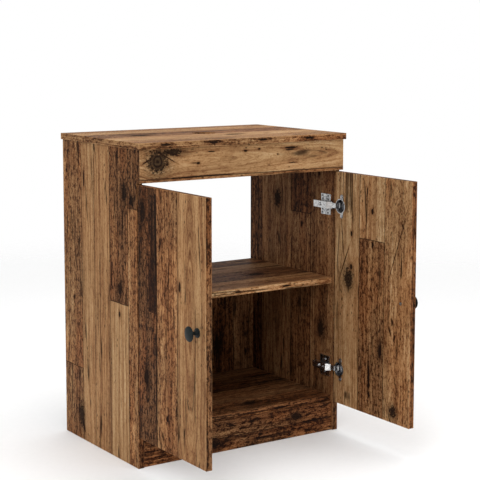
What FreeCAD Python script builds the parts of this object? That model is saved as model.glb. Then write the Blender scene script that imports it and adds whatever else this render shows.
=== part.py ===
import FreeCAD, Part
import os
import Sketcher

# Bathroom vanity cabinet: a flat-pack carcass of 15 mm boards, an overlay fascia and two
# overlay doors on single-knuckle cup hinges. Millimetres, +Z up. The origin is on the
# floor, at mid width, on the rear (wall) plane; the front of the cabinet faces -Y.
# The doors are drawn open at a right angle, which is the rest position of their hinges.

doc = FreeCAD.newDocument("vanity_cabinet")
sheet = doc.addObject("Spreadsheet::Sheet", "dims")

DRIVING = {
    # carcass
    "top_width": 580.0,
    "top_depth": 385.0,
    "overall_height": 745.0,
    "board": 15.0,
    "overhang": 5.0,
    "edge_round": 0.5,
    "fascia_height": 75.0,
    "rail_height": 75.0,
    "plinth_height": 73.0,
    "plinth_setback": 4.0,
    "shelf_setback": 8.0,
    "shelf_underside": 371.5,
    "waste_hole_dia": 60.0,
    "waste_from_front": 190.0,
    "wall_hole_dia": 5.5,
    "wall_hole_spacing": 400.0,
    "back_thickness": 3.0,
    "back_inset": 10.0,
    "groove_depth": 5.0,
    "groove_width": 3.4,
    # flat-pack fittings
    "cam_dia": 15.0,
    "cam_depth": 12.0,
    "cam_reach": 24.0,
    "bolt_edge_dia": 7.0,
    "bolt_face_dia": 5.0,
    "bolt_face_depth": 11.0,
    "dowel_dia": 8.0,
    "dowel_face_depth": 10.0,
    "dowel_edge_depth": 22.0,
    "fit_front": 60.0,
    "fit_rear": 290.0,
    "dowel_up": 18.0,
    "dowel_step": 32.0,
    # doors
    "door_width": 283.5,
    "door_height": 577.0,
    "door_bottom": 74.0,
    "knob_inset": 33.0,
    "knob_up": 290.0,
    "knob_hole_dia": 4.5,
    "hinge_low": 160.0,
    "hinge_high": 567.0,
    # hinge: the knuckle pin lies this far inside the outer faces of side and door
    "pivot_inset": 6.5,
    "closed_gap": 2.5,
    "cup_dia": 35.0,
    "cup_depth": 12.0,
    "cup_from_edge": 20.5,
    "cup_screw_spacing": 48.0,
    "cup_screw_offset": 6.0,
    "plate_from_front": 31.0,
    "plate_screw_spacing": 32.0,
    "plate_width": 38.0,
    "plate_height": 51.0,
    "screw_shank_dia": 3.6,
    "pin_dia": 2.0,
    "pin_length": 16.4,
    "running_gap": 0.05,
    "sheet_metal": 2.0,
    "flange_thickness": 1.2,
    # knobs
    "knob_dia": 33.0,
    "knob_head": 3.0,
    "knob_crown": 2.0,
    "knob_reach": 24.5,
    "rose_dia": 21.0,
    "rose_thickness": 2.5,
    "neck_dia": 9.0,
    "knob_thread_dia": 4.0,
}
for row, (alias, number) in enumerate(DRIVING.items(), start=1):
    sheet.set(f"A{row}", alias)
    sheet.set(f"B{row}", str(number))
    sheet.setAlias(f"B{row}", alias)
doc.recompute()


def size(alias):
    """A driving dimension, read back from the sheet."""
    return float(sheet.get(alias))


# ---------------------------------------------------------------- derived lengths
# Each is an expression on the sheet, so that it follows the driving dimensions.
BOARD = "dims.board"
SIDE_DEPTH = "(dims.top_depth - dims.overhang - dims.board)"
SIDE_HEIGHT = "(dims.overall_height - dims.board)"
CARCASS_WIDTH = "(dims.top_width - 2 * dims.overhang)"
INNER_WIDTH = f"({CARCASS_WIDTH} - 2 * dims.board)"
SHELF_DEPTH = f"({SIDE_DEPTH} - dims.shelf_setback - dims.back_inset - dims.back_thickness)"
BACK_BOTTOM = "dims.plinth_height"
BACK_HEIGHT = "(dims.shelf_underside + dims.board - dims.plinth_height)"
HALF_BOARD = "(dims.board / 2)"

board = size("board")
side_depth = size("top_depth") - size("overhang") - board
side_height = size("overall_height") - board
carcass_width = size("top_width") - 2 * size("overhang")
half_width = carcass_width / 2
inner_half = half_width - board
hinge_levels = {"lower": size("hinge_low"), "upper": size("hinge_high")}

# The knuckle pins stand on these lines: x on either side, y a little in front of the sides.
pivot_x = half_width - size("pivot_inset")
pivot_y = -side_depth - size("closed_gap") - board + size("pivot_inset")
PIVOT_Y = f"(-{SIDE_DEPTH} - dims.closed_gap - dims.board + dims.pivot_inset)"

FLAT = FreeCAD.Rotation()
# a board's length, height and thickness turned to run along X, Z and -Y
UPRIGHT_FACING_FRONT = FreeCAD.Rotation(FreeCAD.Vector(1, 0, 0), 90)
# a board's length, height and thickness turned to run along Y, Z and X
UPRIGHT_FACING_SIDE = FreeCAD.Rotation(FreeCAD.Vector(1, 1, 1), 120)

parts = []


def place(piece, label, rotation, x, y, z):
    """Name a sub-part, turn it and bind its position to the sheet."""
    piece.Label = label
    piece.Placement = FreeCAD.Placement(FreeCAD.Vector(0, 0, 0), rotation)
    for axis, expression in zip("xyz", (x, y, z)):
        piece.setExpression(f"Placement.Base.{axis}", expression)
    parts.append(piece)


# ---------------------------------------------------------------- boards
def plane(body, role):
    return [item for item in body.Origin.OriginFeatures if item.Role == role][0]


def sketch_on(body, role, level="0"):
    """An empty sketch on one of the body's own planes, moved along its normal to a level."""
    sketch = body.newObject("Sketcher::SketchObject", "Sketch")
    sketch.AttachmentSupport = [(plane(body, role), "")]
    sketch.MapMode = "FlatFace"
    sketch.setExpression("AttachmentOffset.Base.z", level)
    return sketch


def bind(sketch, constraint, expression):
    """Add one dimension to a sketch and bind it to the sheet."""
    index = sketch.addConstraint(constraint)
    sketch.setExpression(f"Constraints[{index}]", expression)


def draw_rectangle(sketch, width, height, left="0", low="0"):
    """A rectangle with its lower left corner at (left, low) from the sketch's origin."""
    corners = [FreeCAD.Vector(2, 2), FreeCAD.Vector(60, 2), FreeCAD.Vector(60, 40), FreeCAD.Vector(2, 40)]
    lines = [
        sketch.addGeometry(Part.LineSegment(corners[k], corners[(k + 1) % 4]), False) for k in range(4)
    ]
    for k in range(4):
        sketch.addConstraint(Sketcher.Constraint("Coincident", lines[k], 2, lines[(k + 1) % 4], 1))
    sketch.addConstraint(Sketcher.Constraint("Horizontal", lines[0]))
    sketch.addConstraint(Sketcher.Constraint("Vertical", lines[1]))
    sketch.addConstraint(Sketcher.Constraint("Horizontal", lines[2]))
    sketch.addConstraint(Sketcher.Constraint("Vertical", lines[3]))
    bind(sketch, Sketcher.Constraint("DistanceX", -1, 1, lines[0], 1, 2.0), left)
    bind(sketch, Sketcher.Constraint("DistanceY", -1, 1, lines[0], 1, 2.0), low)
    bind(sketch, Sketcher.Constraint("DistanceX", lines[0], 1, lines[0], 2, 58.0), width)
    bind(sketch, Sketcher.Constraint("DistanceY", lines[1], 1, lines[1], 2, 38.0), height)


def board_body(label, length, height, thickness, rotation, x, y, z):
    """A board: a rectangle padded to its thickness, its long edges eased by a small round."""
    body = doc.addObject("PartDesign::Body", label)
    outline = sketch_on(body, "XY_Plane")
    draw_rectangle(outline, length, height)
    pad = body.newObject("PartDesign::Pad", "Pad")
    pad.Profile = outline
    pad.setExpression("Length", thickness)
    doc.recompute()
    place(body, label, rotation, x, y, z)
    return body


def ease_edges(body):
    """Round every edge of a board as its edge banding does."""
    slab = body.Tip
    fillet = body.newObject("PartDesign::Fillet", "Fillet")
    fillet.Base = (slab, [f"Edge{k + 1}" for k in range(len(slab.Shape.Edges))])
    fillet.setExpression("Radius", "dims.edge_round")
    doc.recompute()


def cut(body, sketch, depth, forward):
    """Pocket a sketch into a body; forward cuts along the sketch's own normal."""
    before = body.Shape.Volume
    pocket = body.newObject("PartDesign::Pocket", "Pocket")
    pocket.Profile = sketch
    pocket.Type = 0
    pocket.Reversed = forward
    pocket.setExpression("Length", depth)
    doc.recompute()
    if body.Shape.Volume >= before - 1e-6:
        raise RuntimeError(f"{body.Label}: a pocket removed nothing")


# Which plane each face of a board is drilled from, how far off it lies, and which way in.
# The right end is that of a board between the sides, the upper end that of a side.
FACES = {
    "bottom": ("XY_Plane", "0", True),
    "top": ("XY_Plane", BOARD, False),
    "left_end": ("YZ_Plane", "0", True),
    "right_end": ("YZ_Plane", INNER_WIDTH, False),
    "upper_end": ("XZ_Plane", f"-{SIDE_HEIGHT}", True),
}


def drill(body, face, centres, diameter, depth):
    """Round blind holes of one size in one face of a board, at the given centres."""
    role, level, forward = FACES[face]
    sketch = sketch_on(body, role, level)
    for k, (across, up) in enumerate(centres):
        start = FreeCAD.Vector(20 + 12 * k, 9, 0)
        circle = sketch.addGeometry(Part.Circle(start, FreeCAD.Vector(0, 0, 1), 3), False)
        bind(sketch, Sketcher.Constraint("DistanceX", -1, 1, circle, 3, start.x), across)
        bind(sketch, Sketcher.Constraint("DistanceY", -1, 1, circle, 3, start.y), up)
        bind(sketch, Sketcher.Constraint("Diameter", circle, 6.0), diameter)
    cut(body, sketch, depth, forward)


def both_ends(body, centres, diameter, depth):
    """The same blind holes in the left and the right end of a board between the sides."""
    for end in ("left_end", "right_end"):
        drill(body, end, centres, diameter, depth)


# Cam fittings and dowels along a side, measured from its front edge.
FIT_S = ["dims.fit_front", "dims.fit_rear"]
DOWEL_S = ["dims.fit_front + dims.dowel_step", "dims.fit_rear - dims.dowel_step"]
# ... and up the short upright boards, from their lower edge
DOWEL_UP = "dims.dowel_up"
FIT_UP = "(dims.dowel_up + dims.dowel_step)"
SHELF_LEVELS = {"bottom_shelf": "dims.plinth_height", "middle_shelf": "dims.shelf_underside"}


def horizontal_shelf(label):
    """A full-width shelf held by two cams and two dowels at each end, cams underneath."""
    body = board_body(
        label, INNER_WIDTH, SHELF_DEPTH, BOARD, FLAT,
        f"-{INNER_WIDTH} / 2", f"-{SIDE_DEPTH} + dims.shelf_setback", SHELF_LEVELS[label],
    )
    ease_edges(body)
    housings = [
        (across, f"{s} - dims.shelf_setback")
        for s in FIT_S
        for across in ("dims.cam_reach", f"{INNER_WIDTH} - dims.cam_reach")
    ]
    drill(body, "bottom", housings, "dims.cam_dia", "dims.cam_depth")
    fits = [(f"{s} - dims.shelf_setback", HALF_BOARD) for s in FIT_S]
    dowels = [(f"{s} - dims.shelf_setback", HALF_BOARD) for s in DOWEL_S]
    both_ends(body, fits, "dims.bolt_edge_dia", "dims.cam_reach")
    both_ends(body, dowels, "dims.dowel_dia", "dims.dowel_edge_depth")
    return body


def upright_rail(label, height, y, z, cam_face):
    """A short upright board between the sides, with one cam and one dowel at each end."""
    body = board_body(label, INNER_WIDTH, height, BOARD, UPRIGHT_FACING_FRONT, f"-{INNER_WIDTH} / 2", y, z)
    ease_edges(body)
    housings = [("dims.cam_reach", FIT_UP), (f"{INNER_WIDTH} - dims.cam_reach", FIT_UP)]
    drill(body, cam_face, housings, "dims.cam_dia", "dims.cam_depth")
    both_ends(body, [(FIT_UP, HALF_BOARD)], "dims.bolt_edge_dia", "dims.cam_reach")
    both_ends(body, [(DOWEL_UP, HALF_BOARD)], "dims.dowel_dia", "dims.dowel_edge_depth")
    return body


def side_panel(label, x, inner_face):
    """A side: bored for shelves, rails, top, fascia and hinge plates, grooved for the back."""
    body = board_body(
        label, SIDE_DEPTH, SIDE_HEIGHT, BOARD, UPRIGHT_FACING_SIDE, x, f"-{SIDE_DEPTH}", "0",
    )
    ease_edges(body)
    rail_s = f"{SIDE_DEPTH} - {HALF_BOARD}"
    plinth_s = f"dims.plinth_setback + {HALF_BOARD}"
    rail_low = f"{SIDE_HEIGHT} - dims.rail_height"
    bolts = [(s, f"{level} + {HALF_BOARD}") for level in SHELF_LEVELS.values() for s in FIT_S]
    bolts += [(rail_s, f"{rail_low} + {FIT_UP}"), (plinth_s, FIT_UP)]
    drill(body, inner_face, bolts, "dims.bolt_face_dia", "dims.bolt_face_depth")
    dowels = [(s, f"{level} + {HALF_BOARD}") for level in SHELF_LEVELS.values() for s in DOWEL_S]
    dowels += [(rail_s, f"{rail_low} + {DOWEL_UP}"), (plinth_s, DOWEL_UP)]
    drill(body, inner_face, dowels, "dims.dowel_dia", "dims.dowel_face_depth")
    # cams that draw the top down and the fascia back
    housings = [(s, f"{SIDE_HEIGHT} - dims.cam_reach") for s in FIT_S]
    housings.append(("dims.cam_reach", FASCIA_FIT_Z))
    drill(body, inner_face, housings, "dims.cam_dia", "dims.cam_depth")
    drill(body, "left_end", [(FASCIA_FIT_Z, HALF_BOARD)], "dims.bolt_edge_dia", "dims.cam_reach")
    drill(body, "left_end", [(FASCIA_DOWEL_Z, HALF_BOARD)], "dims.dowel_dia", "dims.dowel_edge_depth")
    for centres, diameter, depth in (
        (FIT_S, "dims.bolt_edge_dia", "dims.cam_reach"),
        (DOWEL_S, "dims.dowel_dia", "dims.dowel_edge_depth"),
    ):
        drill(body, "upper_end", [(s, HALF_BOARD) for s in centres], diameter, depth)
    # pilot holes for the hinge plates
    pilots = [
        ("dims.plate_from_front", f"{level} {sign} dims.plate_screw_spacing / 2")
        for level in ("dims.hinge_low", "dims.hinge_high")
        for sign in ("+", "-")
    ]
    drill(body, inner_face, pilots, "dims.screw_shank_dia", "dims.bolt_face_depth")
    # stopped groove for the back panel
    role, offset, forward = FACES[inner_face]
    groove = sketch_on(body, role, offset)
    groove_left = f"{SIDE_DEPTH} - dims.back_inset - (dims.back_thickness + dims.groove_width) / 2"
    draw_rectangle(groove, "dims.groove_width", f"{BACK_HEIGHT} + 1", groove_left, f"{BACK_BOTTOM} - 0.5")
    cut(body, groove, "dims.groove_depth", forward)
    return body


def door(label, x, inner_face):
    """A door, drawn open: its free end is the front end, its hinge end stands by the side."""
    body = board_body(
        label, "dims.door_width", "dims.door_height", BOARD, UPRIGHT_FACING_SIDE,
        x, f"{PIVOT_Y} + dims.pivot_inset - dims.door_width", "dims.door_bottom",
    )
    ease_edges(body)
    cup_x = "dims.door_width - dims.cup_from_edge"
    levels = [f"{level} - dims.door_bottom" for level in ("dims.hinge_low", "dims.hinge_high")]
    drill(body, inner_face, [(cup_x, level) for level in levels], "dims.cup_dia", "dims.cup_depth")
    pilots = [
        (f"{cup_x} - dims.cup_screw_offset", f"{level} {sign} dims.cup_screw_spacing / 2")
        for level in levels
        for sign in ("+", "-")
    ]
    drill(body, inner_face, pilots, "dims.screw_shank_dia", "dims.bolt_face_depth")
    drill(body, inner_face, [("dims.knob_inset", "dims.knob_up")], "dims.knob_hole_dia", BOARD)
    return body


FASCIA_Z = f"({SIDE_HEIGHT} - dims.fascia_height)"
FASCIA_FIT_UP = "(dims.fascia_height / 3)"
FASCIA_DOWEL_UP = f"({FASCIA_FIT_UP} + dims.dowel_step)"
FASCIA_FIT_Z = f"({FASCIA_Z} + {FASCIA_FIT_UP})"
FASCIA_DOWEL_Z = f"({FASCIA_Z} + {FASCIA_DOWEL_UP})"

side_left = side_panel("side_panel_left", f"-{CARCASS_WIDTH} / 2", "top")
side_right = side_panel("side_panel_right", f"{CARCASS_WIDTH} / 2 - {BOARD}", "bottom")
bottom_shelf = horizontal_shelf("bottom_shelf")
middle_shelf = horizontal_shelf("middle_shelf")
toe_kick = upright_rail(
    "toe_kick", "dims.plinth_height", f"-{SIDE_DEPTH} + dims.plinth_setback + {BOARD}", "0", "bottom",
)
rear_rail = upright_rail("rear_rail", "dims.rail_height", "0", f"{SIDE_HEIGHT} - dims.rail_height", "top")
wall_holes = [
    (f"{INNER_WIDTH} / 2 {sign} dims.wall_hole_spacing / 2", "dims.rail_height / 2") for sign in ("-", "+")
]
drill(rear_rail, "bottom", wall_holes, "dims.wall_hole_dia", BOARD)

front_fascia = board_body(
    "front_fascia", CARCASS_WIDTH, "dims.fascia_height", BOARD, UPRIGHT_FACING_FRONT,
    f"-{CARCASS_WIDTH} / 2", f"-{SIDE_DEPTH}", FASCIA_Z,
)
ease_edges(front_fascia)
for up, diameter, depth in (
    (FASCIA_FIT_UP, "dims.bolt_face_dia", "dims.bolt_face_depth"),
    (FASCIA_DOWEL_UP, "dims.dowel_dia", "dims.dowel_face_depth"),
):
    ends = [(HALF_BOARD, up), (f"{CARCASS_WIDTH} - {HALF_BOARD}", up)]
    drill(front_fascia, "bottom", ends, diameter, depth)

top_panel = board_body(
    "top_panel", "dims.top_width", "dims.top_depth", BOARD, FLAT,
    "-dims.top_width / 2", "-dims.top_depth", SIDE_HEIGHT,
)
ease_edges(top_panel)
top_x = [f"dims.overhang + {HALF_BOARD}", f"dims.top_width - dims.overhang - {HALF_BOARD}"]
front_of_sides = "dims.overhang + dims.board"
for centres, diameter, depth in (
    (FIT_S, "dims.bolt_face_dia", "dims.bolt_face_depth"),
    (DOWEL_S, "dims.dowel_dia", "dims.dowel_face_depth"),
):
    spots = [(x, f"{front_of_sides} + {s}") for x in top_x for s in centres]
    drill(top_panel, "bottom", spots, diameter, depth)
drill(top_panel, "bottom", [("dims.top_width / 2", "dims.waste_from_front")], "dims.waste_hole_dia", BOARD)

back_panel = board_body(
    "back_panel", f"{INNER_WIDTH} + 2 * dims.groove_depth - 1", BACK_HEIGHT, "dims.back_thickness",
    UPRIGHT_FACING_FRONT, f"-{INNER_WIDTH} / 2 - dims.groove_depth + 0.5", "-dims.back_inset", BACK_BOTTOM,
)

door_left = door("door_left", f"-{CARCASS_WIDTH} / 2", "top")
door_right = door("door_right", f"{CARCASS_WIDTH} / 2 - {BOARD}", "bottom")


# ---------------------------------------------------------------- hardware primitives
X_AXIS = FreeCAD.Vector(1, 0, 0)
Y_AXIS = FreeCAD.Vector(0, 1, 0)
Z_AXIS = FreeCAD.Vector(0, 0, 1)


def rod(radius, length, start, direction=Z_AXIS):
    """A cylinder; radius and length are sheet expressions, start is its first face's centre."""
    item = doc.addObject("Part::Cylinder", "Rod")
    item.setExpression("Radius", str(radius))
    item.setExpression("Height", str(length))
    item.Placement = FreeCAD.Placement(FreeCAD.Vector(*start), FreeCAD.Rotation(Z_AXIS, direction))
    return item


def cone(radius_1, radius_2, length, start, direction=Z_AXIS):
    """A cone frustum along a direction."""
    item = doc.addObject("Part::Cone", "Cone")
    item.setExpression("Radius1", str(radius_1))
    item.setExpression("Radius2", str(radius_2))
    item.setExpression("Height", str(length))
    item.Placement = FreeCAD.Placement(FreeCAD.Vector(*start), FreeCAD.Rotation(Z_AXIS, direction))
    return item


def block(low, high):
    """A box between two corners."""
    item = doc.addObject("Part::Box", "Block")
    item.Length = high[0] - low[0]
    item.Width = high[1] - low[1]
    item.Height = high[2] - low[2]
    item.Placement.Base = FreeCAD.Vector(*low)
    return item


def fuse(*items):
    joined = doc.addObject("Part::MultiFuse", "Joined")
    joined.Shapes = list(items)
    joined.Refine = True
    return joined


def remove(base, *tools):
    result = doc.addObject("Part::Cut", "Remainder")
    result.Base = base
    result.Tool = tools[0] if len(tools) == 1 else fuse(*tools)
    return result


def copy_of(master, label, placement, mirrored=False):
    """A sub-part with the shape of a master piece, mirrored across X for the left side."""
    piece = doc.addObject("Part::Feature", label)
    shape = master.Shape.copy()
    piece.Shape = shape.mirror(FreeCAD.Vector(0, 0, 0), X_AXIS) if mirrored else shape
    piece.Label = label
    piece.Placement = placement.multiply(piece.Placement)
    parts.append(piece)
    return piece


def group_of(master, label, placements):
    """Identical fasteners as one sub-part of separate solids."""
    piece = doc.addObject("Part::Feature", label)
    solids = []
    for placement in placements:
        solid = master.Shape.copy()
        solid.Placement = placement.multiply(solid.Placement)
        solids.append(solid)
    piece.Shape = Part.makeCompound(solids)
    piece.Label = label
    parts.append(piece)
    return piece


def aimed(point, forward, up):
    """A placement whose local Z runs forward and whose local X runs up."""
    side = forward.cross(up)
    return FreeCAD.Placement(point, FreeCAD.Rotation(up, side, forward, "ZXY"))


# ---------------------------------------------------------------- flat-pack fittings
# Every joint: a point on the contact plane, the way the bolt runs, the way the cam opens.
fit_s = [size("fit_front"), size("fit_rear")]
dowel_s = [fit_s[0] + size("dowel_step"), fit_s[1] - size("dowel_step")]
dowel_up = size("dowel_up")
fit_up = dowel_up + size("dowel_step")
fascia_z = side_height - size("fascia_height")
rail_z = side_height - size("rail_height")
plinth_y = -side_depth + size("plinth_setback") + board / 2
shelf_levels = [size("plinth_height"), size("shelf_underside")]


def joints_at(shelf_s, rail_up, fascia_up):
    """The joints of one kind of fitting, as (point, bolt direction, cam opening)."""
    joints = []
    for sign in (-1, 1):
        inward = X_AXIS * -sign
        for level in shelf_levels:
            for s in shelf_s:
                point = FreeCAD.Vector(sign * inner_half, s - side_depth, level + board / 2)
                joints.append((point, inward, Z_AXIS * -1))
        for s in shelf_s:
            point = FreeCAD.Vector(sign * (half_width - board / 2), s - side_depth, side_height)
            joints.append((point, Z_AXIS * -1, inward))
        joints.append((FreeCAD.Vector(sign * inner_half, plinth_y, rail_up), inward, Y_AXIS))
        joints.append((FreeCAD.Vector(sign * inner_half, -board / 2, rail_z + rail_up), inward, Y_AXIS * -1))
        point = FreeCAD.Vector(sign * (half_width - board / 2), -side_depth, fascia_z + fascia_up)
        joints.append((point, Y_AXIS, inward))
    return joints


cam_joints = joints_at(fit_s, fit_up, size("fascia_height") / 3)
dowel_joints = joints_at(dowel_s, dowel_up, size("fascia_height") / 3 + size("dowel_step"))

bolt_tip = size("bolt_face_depth") - 0.5
cam_bolt = fuse(
    rod("dims.bolt_face_dia / 2 - 0.1", "dims.bolt_face_depth - 0.5", (0, 0, -bolt_tip)),
    rod("dims.bolt_edge_dia / 2 - 0.3", 3, (0, 0, 0)),
    rod(2.2, "dims.cam_reach", (0, 0, 0)),
    rod(3.0, 4, (0, 0, size("cam_reach") - 2.5)),
)
bolt_height = size("cam_depth") - board / 2
slot_half = 3.6
cam_housing = remove(
    rod("dims.cam_dia / 2 - 0.1", "dims.cam_depth - 0.1", (0, 0, 0)),
    block((-slot_half, -slot_half, bolt_height - slot_half), (9, slot_half, bolt_height + slot_half)),
    block((-4.5, -0.8, 9.5), (4.5, 0.8, 13)),
    block((-0.8, -4.5, 9.5), (0.8, 4.5, 13)),
)
dowel_length = size("dowel_face_depth") + size("dowel_edge_depth") - 1
dowel_start = -size("dowel_face_depth") + 0.5
wood_dowel = fuse(
    cone("dims.dowel_dia / 2 - 1.1", "dims.dowel_dia / 2 - 0.1", 1, (0, 0, dowel_start)),
    rod("dims.dowel_dia / 2 - 0.1", dowel_length - 2, (0, 0, dowel_start + 1)),
    cone("dims.dowel_dia / 2 - 0.1", "dims.dowel_dia / 2 - 1.1", 1, (0, 0, dowel_start + dowel_length - 1)),
)
panel_nail = fuse(rod(1.6, 0.8, (0, 0, -0.8)), rod(0.7, 18, (0, 0, 0)))
wood_screw = fuse(
    cone(1.75, 3.3, 1.6, (0, 0, 0)),
    rod(3.3, 0.5, (0, 0, 1.6)),
    rod("dims.screw_shank_dia / 2 - 0.05", 10, (0, 0, -10)),
)
wood_screw = remove(
    wood_screw,
    block((-1.9, -0.4, 1.1), (1.9, 0.4, 3)),
    block((-0.4, -1.9, 1.1), (0.4, 1.9, 3)),
)
doc.recompute()

group_of(cam_bolt, "cam_bolts", [aimed(point, run, opening) for point, run, opening in cam_joints])
group_of(
    cam_housing,
    "cam_housings",
    [
        aimed(point + run * size("cam_reach") - opening * bolt_height, opening, run * -1)
        for point, run, opening in cam_joints
    ],
)
group_of(wood_dowel, "wood_dowels", [aimed(point, run, opening) for point, run, opening in dowel_joints])
nail_spots = [
    FreeCAD.Vector(across * 180, -size("back_inset"), level + board / 2)
    for level in shelf_levels
    for across in (-1, 0, 1)
]
group_of(panel_nail, "back_panel_nails", [aimed(spot, Y_AXIS * -1, Z_AXIS) for spot in nail_spots])

# ---------------------------------------------------------------- cup hinges
# Drawn for the right-hand door at rest, around the knuckle pin: u runs towards the outer
# face of the side, v towards the wall. The mouth of the cup opens towards -u. The pin is
# held by two ears inside the cup, and the arm's rolled knuckle turns on it between them.
mouth = size("pivot_inset") - board
cup_v = size("pivot_inset") - size("cup_from_edge")
front_v = board + size("closed_gap") - size("pivot_inset")
flange = size("flange_thickness")
screw_z = size("cup_screw_spacing") / 2
screw_v = cup_v - size("cup_screw_offset")
wing_half = 5.0
cavity_radius = size("cup_dia") / 2 - 1.3
knuckle_radius = 2.1
knuckle_half = 5.9
side_play = 0.4
ear_half = 2.5
pin_half = size("pin_length") / 2
TOWARDS_DOOR = X_AXIS

hollow_cup = remove(
    fuse(
        rod("dims.cup_dia / 2 - 0.1", "dims.cup_depth - 0.1", (mouth, cup_v, 0), TOWARDS_DOOR),
        rod("dims.cup_dia / 2 + 0.7", "dims.flange_thickness", (mouth - flange, cup_v, 0), TOWARDS_DOOR),
        block((mouth - flange, screw_v - wing_half, -screw_z), (mouth, screw_v + wing_half, screw_z)),
        rod(wing_half, "dims.flange_thickness", (mouth - flange, screw_v, -screw_z), TOWARDS_DOOR),
        rod(wing_half, "dims.flange_thickness", (mouth - flange, screw_v, screw_z), TOWARDS_DOOR),
    ),
    rod(cavity_radius, "dims.cup_depth + 0.2", (mouth - flange, cup_v, 0), TOWARDS_DOOR),
    block(
        (mouth - flange, cup_v, -knuckle_half - side_play),
        (mouth + 11, knuckle_radius + side_play, knuckle_half + side_play),
    ),
    rod(1.9, 3, (mouth - 2, screw_v, -screw_z), TOWARDS_DOOR),
    rod(1.9, 3, (mouth - 2, screw_v, screw_z), TOWARDS_DOOR),
)
hinge_cup = remove(
    fuse(
        hollow_cup,
        block((-ear_half, -2.6, knuckle_half + side_play), (ear_half, 1.3, pin_half)),
        block((-ear_half, -2.6, -pin_half), (ear_half, 1.3, -knuckle_half - side_play)),
    ),
    rod("dims.pin_dia / 2", "dims.pin_length + 0.2", (0, 0, -pin_half - 0.1)),
)
hinge_pin = rod("dims.pin_dia / 2", "dims.pin_length", (0, 0, -pin_half))


def bent_strip(path, half_width_z):
    """Sheet metal bent along a path in the u-v plane, with round bends and ends."""
    line = doc.addObject("Part::Polygon", "Bend_line")
    line.Nodes = [FreeCAD.Vector(u, v, 0) for u, v in path]
    outline = doc.addObject("Part::Offset2D", "Outline")
    outline.Source = line
    outline.Mode = "Pipe"
    outline.Join = "Arc"
    outline.Fill = True
    outline.setExpression("Value", "dims.sheet_metal / 2")
    strip = doc.addObject("Part::Extrusion", "Strip")
    strip.Base = outline
    strip.DirMode = "Custom"
    strip.Dir = Z_AXIS
    strip.LengthFwd = 2 * half_width_z
    strip.Symmetric = True
    strip.Solid = True
    return strip


neck_u = -size("sheet_metal") / 2 - 11.5
web_u = -21.5
cheek_low = 7.0
cheek_high = 8.2
plate_v = front_v + size("plate_from_front")
clamp_v = plate_v + 9.5
adjuster_v = plate_v - 8
hinge_arm = remove(
    fuse(
        bent_strip([(0, -0.2), (neck_u, -0.2), (neck_u, front_v + 5)], knuckle_half),
        bent_strip([(neck_u, front_v + 4), (web_u, front_v + 14), (web_u, front_v + 65)], cheek_high),
        rod(knuckle_radius, 2 * knuckle_half, (0, 0, -knuckle_half)),
        block((web_u, front_v + 19, cheek_low), (-11.5, front_v + 64, cheek_high)),
        block((web_u, front_v + 19, -cheek_high), (-11.5, front_v + 64, -cheek_low)),
    ),
    rod("dims.pin_dia / 2 + dims.running_gap", 2 * knuckle_half + 2, (0, 0, -knuckle_half - 1)),
    rod(2.7, 4, (web_u - 2, clamp_v - 3, 0), TOWARDS_DOOR),
    rod(2.7, 4, (web_u - 2, clamp_v + 3, 0), TOWARDS_DOOR),
    block((web_u - 2, clamp_v - 3, -2.7), (web_u + 2, clamp_v + 3, 2.7)),
    rod(2.05, 4, (web_u - 2, adjuster_v, 0), TOWARDS_DOOR),
)
plate_top = mouth - 2
screw_row = size("plate_screw_spacing") / 2
block_top = web_u + size("sheet_metal") / 2 + 0.4
half_plate = size("plate_width") / 2
half_tall = size("plate_height") / 2
hinge_plate = remove(
    fuse(
        block((plate_top, plate_v - half_plate, -half_tall), (mouth, plate_v + half_plate, half_tall)),
        block((plate_top, plate_v - 22, -8), (mouth, plate_v + 24, 8)),
        block((block_top, plate_v - 14, -cheek_low + 0.4), (plate_top, plate_v + 23, cheek_low - 0.4)),
    ),
    *[rod(1.9, 4, (mouth - 3, plate_v, end * screw_row), TOWARDS_DOOR) for end in (-1, 1)],
    *[
        rod(1.6, 4, (mouth - 3, plate_v + column, end * row), TOWARDS_DOOR)
        for column in (-10, 11.5)
        for row in (13, 21)
        for end in (-1, 1)
    ],
    rod(2.5, 8, (block_top - 1, clamp_v, 0), TOWARDS_DOOR),
)
clamp_screw = remove(
    fuse(
        rod(4.0, 2.4, (web_u - 3.5, clamp_v, 0), TOWARDS_DOOR),
        rod(2.45, 9, (web_u - 1.2, clamp_v, 0), TOWARDS_DOOR),
    ),
    block((web_u - 4, clamp_v - 2.4, -0.5), (web_u - 2.4, clamp_v + 2.4, 0.5)),
    block((web_u - 4, clamp_v - 0.5, -2.4), (web_u - 2.4, clamp_v + 0.5, 2.4)),
)
adjusting_screw = remove(
    rod(2.0, 3.5, (web_u - 2.2, adjuster_v, 0), TOWARDS_DOOR),
    block((web_u - 3, adjuster_v - 1.6, -0.4), (web_u - 1.4, adjuster_v + 1.6, 0.4)),
)
doc.recompute()

HANDS = {"left": -1, "right": 1}


def at_hinge(hand, level):
    """The placement that carries a master piece to one hinge."""
    return FreeCAD.Placement(FreeCAD.Vector(HANDS[hand] * pivot_x, pivot_y, level), FLAT)


for hand in HANDS:
    for height, level in hinge_levels.items():
        for master, name in (
            (hinge_cup, "hinge_cup"), (hinge_pin, "hinge_pin"), (hinge_arm, "hinge_arm"),
            (hinge_plate, "hinge_plate"), (clamp_screw, "clamp_screw"),
            (adjusting_screw, "adjusting_screw"),
        ):
            copy_of(master, f"{name}_{hand}_{height}", at_hinge(hand, level), hand == "left")


def screws_on(hand, u, v, spacing):
    """Screw placements on both hinges of one door, heads towards the middle of the cabinet."""
    sign = HANDS[hand]
    return [
        aimed(
            FreeCAD.Vector(sign * (pivot_x + u), pivot_y + v, level + end * spacing / 2),
            X_AXIS * -sign,
            Z_AXIS,
        )
        for level in hinge_levels.values()
        for end in (-1, 1)
    ]


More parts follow.
